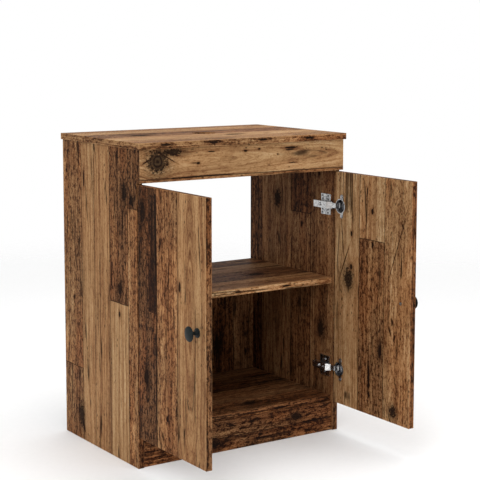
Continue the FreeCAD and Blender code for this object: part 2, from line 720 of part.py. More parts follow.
plate_spots = []
for hand in HANDS:
    group_of(wood_screw, f"cup_screws_{hand}", screws_on(hand, mouth - flange, screw_v, 2 * screw_z))
    plate_spots += screws_on(hand, plate_top, plate_v, size("plate_screw_spacing"))
group_of(wood_screw, "plate_screws", plate_spots)

# ---------------------------------------------------------------- knobs
# A rose against the door, a waisted neck and a thin crowned disc, on the local +Z axis.
reach = size("knob_reach")
head_z = reach - size("knob_head") - size("knob_crown")
neck_length = head_z - size("rose_thickness")
crown_radius = ((size("knob_dia") / 2) ** 2 + size("knob_crown") ** 2) / (2 * size("knob_crown"))
crown_ball = doc.addObject("Part::Sphere", "Crown_ball")
crown_ball.Radius = crown_radius
crown_ball.Placement.Base.z = reach - crown_radius
crown = doc.addObject("Part::Common", "Crown")
crown.Base = crown_ball
crown.Tool = rod("dims.knob_dia / 2", "dims.knob_crown + 1", (0, 0, reach - size("knob_crown") - 1))
knob_shape = remove(
    fuse(
        rod("dims.rose_dia / 2", "dims.rose_thickness", (0, 0, 0)),
        cone("dims.neck_dia / 2 + 2", "dims.neck_dia / 2", neck_length, (0, 0, size("rose_thickness"))),
        cone("dims.neck_dia / 2", "dims.knob_dia / 2 - 1", 2, (0, 0, head_z - 2)),
        rod("dims.knob_dia / 2", "dims.knob_head", (0, 0, head_z)),
        crown,
    ),
    rod("dims.knob_thread_dia / 2 + dims.running_gap", 12, (0, 0, 0)),
)
knob_screw = remove(
    fuse(
        rod(4.0, 2.2, (0, 0, -board - 2.2)),
        rod("dims.knob_thread_dia / 2", board + 11, (0, 0, -board)),
    ),
    block((-2.4, -0.5, -board - 3), (2.4, 0.5, -board - 1.1)),
    block((-0.5, -2.4, -board - 3), (0.5, 2.4, -board - 1.1)),
)
doc.recompute()
knob_y = pivot_y + size("pivot_inset") - size("door_width") + size("knob_inset")
knob_z = size("door_bottom") + size("knob_up")
for hand, sign in HANDS.items():
    spot = aimed(FreeCAD.Vector(sign * half_width, knob_y, knob_z), X_AXIS * sign, Z_AXIS)
    copy_of(knob_shape, f"knob_{hand}", spot)
    copy_of(knob_screw, f"knob_screw_{hand}", spot)

# ---------------------------------------------------------------- checks and export
doc.recompute()
for item in doc.Objects:
    if any(word in item.State for word in ("Invalid", "Error")):
        raise RuntimeError(f"{item.Label} did not compute")
for piece in parts:
    if piece.Shape.isNull() or not piece.Shape.isValid():
        raise RuntimeError(f"{piece.Label} has no valid shape")
os.makedirs("parts", exist_ok=True)
for piece in parts:
    piece.Shape.exportStep(f"parts/{piece.Label}.step")
    print(f"{piece.Label}: {len(piece.Shape.Solids)} solid(s), {piece.Shape.Volume:.0f} mm3")
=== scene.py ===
from collections import namedtuple

import bmesh
import bpy
import numpy as np
from mathutils import Euler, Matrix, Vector


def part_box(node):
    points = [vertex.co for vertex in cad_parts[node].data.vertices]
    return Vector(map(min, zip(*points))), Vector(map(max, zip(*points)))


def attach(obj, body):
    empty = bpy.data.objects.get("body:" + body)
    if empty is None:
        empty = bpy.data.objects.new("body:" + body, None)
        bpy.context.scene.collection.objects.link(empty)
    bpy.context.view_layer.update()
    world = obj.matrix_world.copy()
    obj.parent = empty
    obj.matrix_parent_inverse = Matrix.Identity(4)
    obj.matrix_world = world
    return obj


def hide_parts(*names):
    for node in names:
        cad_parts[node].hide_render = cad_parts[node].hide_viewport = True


# The looks of a bathroom vanity cabinet, in metres, on the frame of its CAD model: boards in a
# decor of old planks, nickel-plated cup hinges, steel screws and two matt black knobs.

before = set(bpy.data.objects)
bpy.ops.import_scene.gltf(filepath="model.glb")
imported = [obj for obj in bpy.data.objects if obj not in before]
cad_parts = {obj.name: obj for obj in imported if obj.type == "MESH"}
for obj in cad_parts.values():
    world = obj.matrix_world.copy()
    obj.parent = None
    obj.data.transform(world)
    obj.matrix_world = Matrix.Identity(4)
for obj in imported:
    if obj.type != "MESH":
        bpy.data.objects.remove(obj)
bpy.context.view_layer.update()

MM = 0.001


# ---------------------------------------------------------------- node helpers
def feed(tree, socket, value):
    """Link a socket to the given one, or set its value."""
    if isinstance(value, bpy.types.NodeSocket):
        tree.links.new(value, socket)
    else:
        socket.default_value = value


def math(tree, operation, *values):
    """The result of a math node on sockets or numbers."""
    node = tree.nodes.new("ShaderNodeMath")
    node.operation = operation
    for socket, value in zip(node.inputs, values):
        feed(tree, socket, value)
    return node.outputs[0]


def vector_math(tree, operation, *values):
    """The result of a vector math node on sockets or vectors."""
    node = tree.nodes.new("ShaderNodeVectorMath")
    node.operation = operation
    for socket, value in zip(node.inputs, values):
        feed(tree, socket, value)
    return node.outputs["Value" if operation in ("LENGTH", "DOT_PRODUCT") else "Vector"]


def combine(tree, x=0.0, y=0.0, z=0.0):
    """A vector from three sockets or numbers."""
    node = tree.nodes.new("ShaderNodeCombineXYZ")
    for socket, value in zip(node.inputs, (x, y, z)):
        feed(tree, socket, value)
    return node.outputs[0]


def separate(tree, vector):
    """The three parts of a vector."""
    node = tree.nodes.new("ShaderNodeSeparateXYZ")
    feed(tree, node.inputs[0], vector)
    return node.outputs


def mix(tree, kind, factor, a, b, blend="MIX"):
    """Mix two values of a kind: FLOAT, VECTOR or RGBA."""
    node = tree.nodes.new("ShaderNodeMix")
    node.data_type = kind
    if kind == "RGBA":
        node.blend_type = blend
    pair = [s for s in node.inputs if s.enabled and s.name in ("A", "B")]
    feed(tree, [s for s in node.inputs if s.enabled and s.name == "Factor"][0], factor)
    feed(tree, pair[0], a)
    feed(tree, pair[1], b)
    return [s for s in node.outputs if s.enabled][0]


def smooth(tree, value, low, high, to_low=0.0, to_high=1.0):
    """A smooth step of a value between two levels."""
    node = tree.nodes.new("ShaderNodeMapRange")
    node.interpolation_type = "SMOOTHSTEP"
    for socket, number in zip(node.inputs, (value, low, high, to_low, to_high)):
        feed(tree, socket, number)
    return node.outputs[0]


def noise(tree, vector, scale=1.0, detail=2.0, roughness=0.5, distortion=0.0):
    """Fractal noise, from 0 to 1, at a vector."""
    node = tree.nodes.new("ShaderNodeTexNoise")
    feed(tree, node.inputs["Vector"], vector)
    node.inputs["Scale"].default_value = scale
    node.inputs["Detail"].default_value = detail
    node.inputs["Roughness"].default_value = roughness
    node.inputs["Distortion"].default_value = distortion
    return node.outputs[0]


def ramp(tree, value, stops):
    """A colour ramp from (position, colour) stops."""
    node = tree.nodes.new("ShaderNodeValToRGB")
    band = node.color_ramp
    band.elements[0].position, band.elements[0].color = stops[0][0], (*stops[0][1], 1.0)
    band.elements[1].position, band.elements[1].color = stops[-1][0], (*stops[-1][1], 1.0)
    for position, colour in stops[1:-1]:
        band.elements.new(position).color = (*colour, 1.0)
    feed(tree, node.inputs[0], value)
    return node.outputs[0]


SOCKETS = {"float": "NodeSocketFloat", "vector": "NodeSocketVector", "colour": "NodeSocketColor"}


def new_group(name, inputs, outputs):
    """An empty shader node group, with its input sockets by name and its output node."""
    tree = bpy.data.node_groups.new(name, "ShaderNodeTree")
    for label, kind in inputs.items():
        tree.interface.new_socket(label, in_out="INPUT", socket_type=SOCKETS[kind])
    for label, kind in outputs.items():
        tree.interface.new_socket(label, in_out="OUTPUT", socket_type=SOCKETS[kind])
    return tree, tree.nodes.new("NodeGroupInput").outputs, tree.nodes.new("NodeGroupOutput").inputs


def use(tree, group, **values):
    """Place a group in a tree, feed its inputs by name and return its outputs."""
    node = tree.nodes.new("ShaderNodeGroup")
    node.node_tree = group
    for name, value in values.items():
        feed(tree, node.inputs[name.replace("_", " ")], value)
    return node.outputs


# ---------------------------------------------------------------- shared effects
def plank_group():
    """One plank of the decor: where a point lies on it, its finish replaces what lies under it.
    The grain runs in nested ellipses round the plank's heart, flat ones for a small flare."""
    tree, given, result = new_group(
        "plank",
        {
            "Position": "vector", "Shift": "float", "Start": "float", "End": "float", "Low": "float",
            "High": "float", "Finish": "vector", "Heart across": "float", "Heart along": "float",
            "Flare": "float", "Under finish": "vector", "Under grain": "float", "Under edge": "float",
        },
        {"Finish": "vector", "Grain": "float", "Edge": "float"},
    )
    across, along, _ = separate(tree, given["Position"])
    beside = math(
        tree, "MINIMUM",
        math(tree, "SUBTRACT", across, given["Start"]), math(tree, "SUBTRACT", given["End"], across),
    )
    beyond = math(
        tree, "MINIMUM",
        math(tree, "SUBTRACT", along, given["Low"]), math(tree, "SUBTRACT", given["High"], along),
    )
    edge = math(tree, "MINIMUM", beside, beyond)
    inside = math(tree, "GREATER_THAN", edge, 0.0)
    shifted = math(tree, "ADD", across, given["Shift"])
    from_heart = combine(
        tree,
        math(tree, "SUBTRACT", shifted, given["Heart across"]),
        math(
            tree, "MULTIPLY",
            math(tree, "SUBTRACT", along, given["Heart along"]), given["Flare"],
        ),
    )
    grain = vector_math(tree, "LENGTH", from_heart)
    feed(tree, result["Finish"], mix(tree, "VECTOR", inside, given["Under finish"], given["Finish"]))
    feed(tree, result["Grain"], mix(tree, "FLOAT", inside, given["Under grain"], grain))
    feed(tree, result["Edge"], mix(tree, "FLOAT", inside, given["Under edge"], edge))
    return tree


def knot_group():
    """A knot: it pulls the grain towards its centre by a bell curve and darkens in torn rings."""
    tree, given, result = new_group(
        "knot",
        {
            "Position": "vector", "Centre": "vector", "Size": "vector",
            "Under shift": "float", "Under dark": "float",
        },
        {"Shift": "float", "Dark": "float"},
    )
    offset = vector_math(tree, "SUBTRACT", given["Position"], given["Centre"])
    away = vector_math(tree, "LENGTH", vector_math(tree, "DIVIDE", offset, given["Size"]))
    ragged = math(
        tree, "MULTIPLY_ADD", noise(tree, given["Position"], scale=150, detail=5, roughness=0.8), 4.0, -2.0,
    )
    squared = math(tree, "MULTIPLY", away, away)
    bell = math(tree, "EXPONENT", math(tree, "MULTIPLY", squared, -0.25))
    pull = math(tree, "MULTIPLY", math(tree, "MULTIPLY", separate(tree, offset)[0], -0.8), bell)
    feed(tree, result["Shift"], math(tree, "ADD", given["Under shift"], pull))
    rings = math(tree, "MULTIPLY_ADD", math(tree, "SINE", math(tree, "MULTIPLY", away, 15.0)), 0.05, 0.95)
    torn = math(tree, "ADD", away, ragged)
    core = smooth(tree, torn, 1.55, 1.0)
    halo = smooth(tree, torn, 3.0, 1.0, 0.0, 0.5)
    dark = math(tree, "MULTIPLY", math(tree, "MAXIMUM", core, halo), rings)
    feed(tree, result["Dark"], math(tree, "MAXIMUM", given["Under dark"], dark))
    return tree


def mark_group():
    """A nail hole, slit or crack: a turned ellipse with a sharp hole and a soft stain."""
    tree, given, result = new_group(
        "mark",
        {
            "Position": "vector", "Centre": "vector", "Size": "vector", "Angle": "float",
            "Under hole": "float", "Under stain": "float",
        },
        {"Hole": "float", "Stain": "float"},
    )
    turn = tree.nodes.new("ShaderNodeVectorRotate")
    turn.rotation_type = "Z_AXIS"
    feed(tree, turn.inputs["Vector"], vector_math(tree, "SUBTRACT", given["Position"], given["Centre"]))
    feed(tree, turn.inputs["Angle"], given["Angle"])
    away = vector_math(tree, "LENGTH", vector_math(tree, "DIVIDE", turn.outputs[0], given["Size"]))
    hole = smooth(tree, away, 1.15, 0.8)
    stain = smooth(tree, away, 2.6, 0.9)
    feed(tree, result["Hole"], math(tree, "MAXIMUM", given["Under hole"], hole))
    feed(tree, result["Stain"], math(tree, "MAXIMUM", given["Under stain"], stain))
    return tree


def edge_group():
    """How far a point on a box's surface lies from the box's nearest edge: the middle one of
    its three distances to a pair of faces."""
    tree, given, result = new_group(
        "edge_distance",
        {"Position": "vector", "Low": "vector", "High": "vector"},
        {"Distance": "float"},
    )
    inwards = vector_math(
        tree, "MINIMUM",
        vector_math(tree, "SUBTRACT", given["Position"], given["Low"]),
        vector_math(tree, "SUBTRACT", given["High"], given["Position"]),
    )
    x, y, z = separate(tree, inwards)
    lesser = math(tree, "MINIMUM", x, y)
    greater = math(tree, "MAXIMUM", x, y)
    middle = math(tree, "MAXIMUM", lesser, math(tree, "MINIMUM", greater, z))
    feed(tree, result["Distance"], middle)
    return tree


WOOD_TONES = [
    (0.00, (0.010, 0.005, 0.003)),
    (0.15, (0.040, 0.016, 0.007)),
    (0.32, (0.112, 0.046, 0.018)),
    (0.50, (0.205, 0.096, 0.041)),
    (0.66, (0.300, 0.163, 0.071)),
    (0.82, (0.400, 0.238, 0.112)),
    (1.00, (0.540, 0.375, 0.210)),
]


def old_wood_group():
    """Old planks: growth bands and fibres drawn along the grain, weathered patches, pores,
    worm holes, drying cracks and pale rubbed streaks; all are stretched noise of the position."""
    tree, given, result = new_group(
        "old_wood",
        {
            "Position": "vector", "Grain": "float", "Finish": "vector", "Joint": "float",
            "Dark knot": "float", "Hole": "float", "Stain": "float", "Wear": "float",
        },
        {"Colour": "colour", "Roughness": "float", "Height": "float"},
    )
    across, along, depth = separate(tree, given["Position"])
    tone, weather, seed = separate(tree, given["Finish"])
    shelf = math(tree, "MULTIPLY", seed, 37.0)

    def stretched(over, lengthwise, of=across):
        """Position scaled by one frequency across the grain and another along it, per metre."""
        return combine(
            tree,
            math(tree, "MULTIPLY_ADD", of, over, shelf),
            math(tree, "MULTIPLY_ADD", along, lengthwise, shelf),
            math(tree, "MULTIPLY_ADD", depth, over, seed),
        )

    def weathered(least, most):
        """A weight that runs from one value on sound wood to another on fully weathered wood."""
        return math(tree, "MULTIPLY_ADD", weather, most - least, least)

    sway = math(tree, "SUBTRACT", noise(tree, stretched(16, 5), detail=2), 0.5)
    grain = math(tree, "MULTIPLY_ADD", sway, 0.014, given["Grain"])
    bands = noise(tree, stretched(105, 1.5, grain), detail=4, roughness=0.62)
    fibres = noise(tree, stretched(430, 9, grain), detail=3, roughness=0.62)
    mottle = noise(tree, stretched(150, 62), detail=4, roughness=0.72)
    specks = noise(tree, stretched(430, 190), detail=2, roughness=0.6)
    pores = noise(tree, stretched(1100, 45, grain), detail=1.5)
    patches = noise(tree, stretched(26, 6), detail=5, roughness=0.66, distortion=0.4)
    ridges = noise(tree, stretched(52, 1.9, grain), detail=1)
    breaks = noise(tree, stretched(30, 9), detail=1)
    rubbed = noise(tree, stretched(420, 12, grain), detail=3, roughness=0.7)
    reddening = noise(tree, stretched(14, 3), detail=2)
    worms = tree.nodes.new("ShaderNodeTexVoronoi")
    feed(tree, worms.inputs["Vector"], stretched(120, 62))
    worms.inputs["Scale"].default_value = 1.0

    band_dark = smooth(tree, bands, 0.62, 0.38)
    fibre_dark = smooth(tree, fibres, 0.66, 0.36)
    mottle_dark = smooth(tree, mottle, 0.52, 0.40)
    speck_dark = smooth(tree, specks, 0.46, 0.36)
    pore_dark = smooth(tree, pores, 0.36, 0.27)
    patch_low = math(tree, "MULTIPLY_ADD", weather, 0.26, 0.36)
    patch_dark = smooth(
        tree, patches, math(tree, "ADD", patch_low, 0.07), math(tree, "SUBTRACT", patch_low, 0.05),
    )
    off_ridge = math(tree, "ABSOLUTE", math(tree, "SUBTRACT", ridges, 0.5))
    crack = math(
        tree, "MULTIPLY",
        smooth(tree, off_ridge, 0.022, 0.006), smooth(tree, breaks, 0.46, 0.56),
    )
    worm = math(
        tree, "MULTIPLY",
        smooth(tree, worms.outputs["Distance"], 0.27, 0.15),
        smooth(tree, math(tree, "MULTIPLY_ADD", weather, 0.20, breaks), 0.56, 0.68),
    )

    level = math(tree, "MULTIPLY_ADD", band_dark, -0.20, tone)
    level = math(tree, "MULTIPLY_ADD", fibre_dark, -0.21, level)
    level = math(tree, "MULTIPLY_ADD", pore_dark, -0.09, level)
    level = math(tree, "MULTIPLY_ADD", mottle_dark, weathered(0.0, -0.40), level)
    level = math(tree, "MULTIPLY_ADD", speck_dark, weathered(-0.06, -0.34), level)
    level = math(tree, "MULTIPLY_ADD", patch_dark, weathered(0.0, -0.22), level)
    level = math(tree, "MULTIPLY_ADD", given["Stain"], -0.20, level)
    level = math(tree, "ADD", level, weathered(0.21, 0.38))
    streak = math(
        tree, "MULTIPLY", smooth(tree, rubbed, 0.60, 0.72), math(tree, "MULTIPLY", weather, 0.16),
    )
    level = math(tree, "ADD", level, streak)
    level = math(tree, "MULTIPLY_ADD", given["Wear"], 0.10, level)
    colour = ramp(tree, math(tree, "MAXIMUM", level, 0.02), WOOD_TONES)
    redder = mix(tree, "RGBA", 1.0, colour, (1.12, 0.92, 0.80, 1.0), "MULTIPLY")
    red_part = math(tree, "MULTIPLY", smooth(tree, reddening, 0.38, 0.62), weather)
    colour = mix(tree, "RGBA", red_part, colour, redder)

    gap = smooth(tree, given["Joint"], 1.7 * MM, 0.5 * MM, 0.0, 0.80)
    shade = math(tree, "MAXIMUM", gap, math(tree, "MULTIPLY", crack, 0.8))
    shade = math(tree, "MAXIMUM", shade, math(tree, "MULTIPLY", worm, 0.7))
    shade = math(tree, "MAXIMUM", shade, math(tree, "MULTIPLY", given["Dark knot"], 0.99))
    shade = math(tree, "MAXIMUM", shade, math(tree, "MULTIPLY", given["Hole"], 0.96))
    colour = mix(tree, "RGBA", shade, colour, (0.011, 0.006, 0.004, 1.0))
    feed(tree, result["Colour"], colour)

    rough = math(tree, "MULTIPLY_ADD", fibre_dark, 0.10, 0.46)
    rough = math(tree, "MULTIPLY_ADD", shade, 0.22, rough)
    rough = math(tree, "MULTIPLY_ADD", given["Wear"], -0.06, rough)
    feed(tree, result["Roughness"], rough)

    height = math(tree, "MULTIPLY_ADD", fibre_dark, -0.35, 1.0)
    height = math(tree, "MULTIPLY_ADD", band_dark, -0.20, height)
    height = math(tree, "MULTIPLY_ADD", pore_dark, -0.20, height)
    height = math(tree, "MULTIPLY_ADD", shade, -0.9, height)
    feed(tree, result["Height"], height)
    return tree


def metal_group():
    """Plated metal: fine scratches, cloudy smudges and a slightly uneven surface."""
    tree, given, result = new_group(
        "plated_metal",
        {"Position": "vector", "Bright": "colour", "Dull": "colour", "Smooth": "float", "Uneven": "float"},
        {"Colour": "colour", "Roughness": "float", "Height": "float"},
    )
    clouds = noise(tree, given["Position"], scale=160, detail=3, roughness=0.6)
    scratches = noise(
        tree, vector_math(tree, "MULTIPLY", given["Position"], (2600.0, 2600.0, 260.0)), detail=2,
    )
    peel = noise(tree, given["Position"], scale=700, detail=1)
    dull = smooth(tree, clouds, 0.36, 0.66)
    feed(tree, result["Colour"], mix(tree, "RGBA", dull, given["Bright"], given["Dull"]))
    rough = math(tree, "MULTIPLY_ADD", dull, 0.12, given["Smooth"])
    rough = math(tree, "MULTIPLY_ADD", smooth(tree, scratches, 0.5, 0.7), 0.14, rough)
    feed(tree, result["Roughness"], rough)
    bumps = math(tree, "MULTIPLY", math(tree, "ADD", scratches, peel), given["Uneven"])
    feed(tree, result["Height"], bumps)
    return tree


PLANK = plank_group()
KNOT = knot_group()
MARK = mark_group()
EDGE_DISTANCE = edge_group()
OLD_WOOD = old_wood_group()
PLATED_METAL = metal_group()


# ---------------------------------------------------------------- materials
def new_material(name):
    """A new material, its node tree and the inputs of its shader."""
    material = bpy.data.materials.new(name)
    material.use_nodes = True
    tree = material.node_tree
    return material, tree, tree.nodes["Principled BSDF"].inputs


def object_position(tree):
    """The point on the piece, in metres from the origin of the frame."""
    return tree.nodes.new("ShaderNodeTexCoord").outputs["Object"]


def relief(tree, height, distance, strength=1.0):
    """The normal of a surface raised by a height, from 0 to 1, over a distance."""
    bump = tree.nodes.new("ShaderNodeBump")
    bump.inputs["Strength"].default_value = strength
    bump.inputs["Distance"].default_value = distance
    feed(tree, bump.inputs["Height"], height)
    return bump.outputs["Normal"]


def finish_nodes(node_names, material):
    """Give CAD nodes a material in place of what their slots hold."""
    for name in node_names:
        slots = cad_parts[name].material_slots
        if not slots:
            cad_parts[name].data.materials.append(material)
        for slot in slots:
            slot.material = material


# Every length on a board is in millimetres: across the grain and along it, from the corner
# with the lowest coordinates. A tone runs from 0, black, to 1, pale; weather from 0 to 1.
Plank = namedtuple("Plank", "start end tone weather low high heart flare", defaults=(-9, 999, None, 0.0))
Knot = namedtuple("Knot", "across along width length")
Mark = namedtuple("Mark", "across along width length angle depth", defaults=(0.0, None))
AXES = {"x": 0, "y": 1, "z": 2}
EDGE_TONE = 0.46


def decor(node, across, along, planks, knots=(), marks=(), edge_tone=EDGE_TONE):
    """The old-plank decor of one board, its planks, knots and marks laid out on it."""
    low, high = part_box(node)
    thin = ({"x", "y", "z"} - {across, along}).pop()
    material, tree, shader = new_material("decor_" + node)
    position = object_position(tree)
    coordinates = separate(tree, vector_math(tree, "SUBTRACT", position, low))
    place = combine(
        tree, coordinates[AXES[across]], coordinates[AXES[along]], coordinates[AXES[thin]],
    )
    wander = tree.nodes.new("ShaderNodeTexNoise")
    feed(tree, wander.inputs["Vector"], place)
    wander.inputs["Scale"].default_value = 110.0
    wander.inputs["Detail"].default_value = 3.0
    wandering = vector_math(
        tree, "MULTIPLY",
        vector_math(tree, "SUBTRACT", wander.outputs["Color"], (0.5, 0.5, 0.5)),
        (6 * MM, 12 * MM, 0.0),
    )
    ragged = vector_math(tree, "ADD", place, wandering)
    nearly = vector_math(tree, "MULTIPLY_ADD", wandering, (0.22, 0.22, 0.0), place)

    shift, dark = 0.0, 0.0
    for knot in knots:
        outputs = use(
            tree, KNOT, Position=ragged, Centre=(knot.across * MM, knot.along * MM, 0),
            Size=(knot.width * MM, knot.length * MM, 1.0), Under_shift=shift, Under_dark=dark,
        )
        shift, dark = outputs["Shift"], outputs["Dark"]
    hole, stain = 0.0, 0.0
    for mark in marks:
        deep = mark.depth is not None
        outputs = use(
            tree, MARK, Position=ragged if mark.width > 9 else nearly,
            Centre=(mark.across * MM, mark.along * MM, mark.depth * MM if deep else 0.0),
            Size=(mark.width * MM, mark.length * MM, 2.5 * MM if deep else 1.0), Angle=mark.angle,
            Under_hole=hole, Under_stain=stain,
        )
        hole, stain = outputs["Hole"], outputs["Stain"]
    finish, grain, joint = (0.4, 0.3, 0.0), coordinates[AXES[across]], 1.0
    for number, plank in enumerate(planks):
        heart = plank.heart or (plank.start - 40 - 25 * number, 300)
        outputs = use(
            tree, PLANK, Position=nearly, Shift=shift, Start=plank.start * MM, End=plank.end * MM,
            Low=plank.low * MM, High=plank.high * MM,
            Finish=(plank.tone, plank.weather, 0.13 + 0.61 * number + len(node) * 0.07),
            Heart_across=heart[0] * MM, Heart_along=heart[1] * MM, Flare=plank.flare,
            Under_finish=finish, Under_grain=grain, Under_edge=joint,
        )
        finish, grain, joint = outputs["Finish"], outputs["Grain"], outputs["Edge"]

    # the narrow faces wear a banding of their own, which starts at the eased corner
    size = high - low
    thickness = size[AXES[thin]]
    from_face = math(
        tree, "MINIMUM", coordinates[AXES[thin]],
        math(tree, "SUBTRACT", thickness, coordinates[AXES[thin]]),
    )
    banded = math(tree, "GREATER_THAN", from_face, 0.45 * MM)
    finish = mix(tree, "VECTOR", banded, finish, (edge_tone, 0.75, 0.41 + len(node) * 0.11))
    over, run, deep = (coordinates[AXES[axis]] for axis in (across, along, thin))
    end_gap = math(tree, "MINIMUM", run, math(tree, "SUBTRACT", size[AXES[along]], run))
    side_gap = math(tree, "MINIMUM", over, math(tree, "SUBTRACT", size[AXES[across]], over))
    at_end = math(tree, "LESS_THAN", end_gap, side_gap)
    band_place = mix(
        tree, "VECTOR", at_end, combine(tree, deep, run, over), combine(tree, deep, over, run),
    )
    place = mix(tree, "VECTOR", banded, place, band_place)
    grain = mix(tree, "FLOAT", banded, grain, deep)
    joint = mix(tree, "FLOAT", banded, joint, 1.0)
    from_edge = use(tree, EDGE_DISTANCE, Position=position, Low=low, High=high)["Distance"]
    chafe = noise(tree, position, scale=240, detail=3)
    reach = math(tree, "MULTIPLY", chafe, 2.4 * MM)
    worn = smooth(tree, math(tree, "SUBTRACT", from_edge, reach), 0.3 * MM, -0.6 * MM)
    outputs = use(
        tree, OLD_WOOD, Position=place, Grain=grain, Finish=finish, Joint=joint, Dark_knot=dark,
        Hole=hole, Stain=stain, Wear=worn,
    )
    feed(tree, shader["Base Color"], outputs["Colour"])
    feed(tree, shader["Roughness"], outputs["Roughness"])
    feed(tree, shader["Normal"], relief(tree, outputs["Height"], 0.5 * MM, 0.55))
    shader["Specular IOR Level"].default_value = 0.03
    finish_nodes([node], material)
    return material


decor(
    "side_panel_left", "y", "z",
    [
        Plank(-9, 41, 0.63, 0.80, high=595), Plank(-9, 41, 0.50, 0.90, low=595),
        Plank(41, 128, 0.74, 0.20, high=370, heart=(-60, 150), flare=0.03),
        Plank(41, 128, 0.49, 0.80, low=370),
        Plank(128, 205, 0.60, 0.26, heart=(205, 520), flare=0.05), Plank(205, 268, 0.68, 0.25),
        Plank(268, 400, 0.60, 0.80, low=178), Plank(268, 400, 0.58, 0.75, high=178),
    ],
    [Knot(280, 60, 11, 24), Knot(57, 627, 9, 17), Knot(80, 404, 9, 13), Knot(24, 612, 8, 10)],
    [
        Mark(180, 60, 2.6, 17), Mark(84, 344, 4, 7), Mark(256, 643, 3.2, 20), Mark(88, 707, 2.2, 13),
        Mark(311, 348, 4, 6), Mark(23, 610, 1.6, 15, 0.5), Mark(30, 612, 1.4, 13, -0.6),
        Mark(268, 32, 4, 14, 0.3), Mark(345, 655, 3, 5), Mark(66, 560, 2, 22), Mark(121, 430, 2, 26),
    ],
)
decor(
    "door_left", "y", "z",
    [
        Plank(-9, 114, 0.64, 0.24, heart=(63, 336), flare=0.085), Plank(114, 202, 0.58, 0.75),
        Plank(202, 300, 0.38, 0.95), Plank(202, 237, 0.24, 0.95, low=300),
    ],
    [Knot(262, 520, 9, 22), Knot(248, 150, 8, 16)],
    [
        Mark(104, 375, 4, 12), Mark(159, 74, 4, 7), Mark(119, 100, 2.4, 13), Mark(128, 300, 1.6, 20),
        Mark(186, 455, 2, 10), Mark(204, 420, 2, 60, 0.03), Mark(203, 180, 1.8, 80, -0.02),
    ],
)
decor(
    "door_right", "y", "z",
    [
        Plank(-9, 95, 0.69, 0.66), Plank(95, 189, 0.76, 0.50, low=424),
        Plank(95, 189, 0.57, 0.80, high=424), Plank(189, 300, 0.71, 0.32, heart=(229, 319), flare=0.03),
    ],
    [Knot(229, 319, 13, 20), Knot(58, 28, 9, 11), Knot(108, 161, 5, 14)],
    [
        Mark(219, 431, 4, 6.5), Mark(219, 350, 5, 7), Mark(141, 493, 4.2, 7), Mark(139, 412, 3.4, 5.5),
        Mark(148, 90, 3, 34), Mark(147, 49, 4, 9, 0.2), Mark(106, 161, 3, 12), Mark(51, 413, 0.9, 84, -0.36),
        Mark(246, 358, 1.4, 40, -0.42), Mark(254, 420, 1.1, 48, 0.12), Mark(64, 240, 3, 8),
        Mark(72, 218, 2.4, 9, 0.4), Mark(55, 205, 2.2, 6), Mark(30, 470, 2, 8, 0.5), Mark(160, 540, 1.8, 8),
    ],
)
decor(
    "front_fascia", "z", "x",
    [Plank(-9, 7, 0.60, 0.50), Plank(7, 99, 0.67, 0.26, heart=(44, 44), flare=0.06)],
    [Knot(47, 46, 22, 20), Knot(66, 84, 6, 24)],
    [
        Mark(39, 71, 3.6, 4.4), Mark(38, 153, 3, 4.6), Mark(39, 143, 1.0, 9), Mark(63, 188, 1.6, 10),
        Mark(60, 282, 2.6, 5), Mark(63, 321, 2, 3.4), Mark(62, 411, 2.6, 17), Mark(57, 408, 1.6, 12),
        Mark(48, 374, 1.6, 2.6), Mark(26, 417, 1.2, 10), Mark(55, 70, 1.2, 26, -0.5),
        Mark(63, 82, 1.4, 24, -0.3), Mark(48, 18, 1.6, 14, 0.5), Mark(8, 160, 1.6, 90, 0.01),
    ],
)
decor(
    "top_panel", "y", "x",
    [
        Plank(-9, 74, 0.60, 0.45), Plank(74, 168, 0.70, 0.25, heart=(120, 190), flare=0.06),
        Plank(168, 262, 0.48, 0.60), Plank(262, 340, 0.68, 0.30), Plank(340, 420, 0.56, 0.50),
    ],
    [Knot(205, 120, 12, 19)],
    [
        Mark(0, 70, 6, 14, 0, 9), Mark(0, 197, 6, 13, 0, 9), Mark(0, 334, 6, 12, 0, 9.5),
        Mark(0, 468, 6, 11, 0, 8.5), Mark(110, 420, 3, 6), Mark(300, 500, 3, 9), Mark(231, 330, 2, 18),
    ],
    edge_tone=0.65,
)
decor(
    "side_panel_right", "y", "z",
    [
        Plank(-9, 95, 0.50, 0.50), Plank(95, 180, 0.44, 0.62, high=535),
        Plank(95, 180, 0.40, 0.75, low=535), Plank(180, 311, 0.52, 0.42, heart=(240, 350), flare=0.05),
        Plank(311, 400, 0.34, 0.70),
    ],
    [Knot(240, 560, 11, 20), Knot(50, 250, 9, 16)],
    [Mark(134, 506, 4, 6.5), Mark(62, 640, 3, 6), Mark(210, 180, 2.4, 18), Mark(330, 420, 3, 12)],
)
decor(
    "middle_shelf", "y", "x",
    [Plank(-9, 92, 0.56, 0.45), Plank(92, 190, 0.44, 0.60), Plank(190, 272, 0.60, 0.35),
     Plank(272, 360, 0.40, 0.60)],
    [Knot(140, 410, 11, 18)],
    [
        Mark(0, 90, 6, 11, 0, 8), Mark(0, 262, 6, 9, 0, 7), Mark(0, 402, 6, 13, 0, 8),
        Mark(40, 150, 3, 6), Mark(230, 300, 2.4, 13),
    ],
    edge_tone=0.84,
)
decor(
    "bottom_shelf", "y", "x",
    [Plank(-9, 84, 0.40, 0.72), Plank(84, 176, 0.52, 0.50), Plank(176, 262, 0.36, 0.70),
     Plank(262, 360, 0.50, 0.45)],
    [Knot(52, 330, 10, 17)],
    [Mark(120, 120, 3, 7), Mark(210, 420, 2.4, 12), Mark(0, 150, 6, 12, 0, 8), Mark(0, 380, 6, 14, 0, 7)],
    edge_tone=0.36,
)
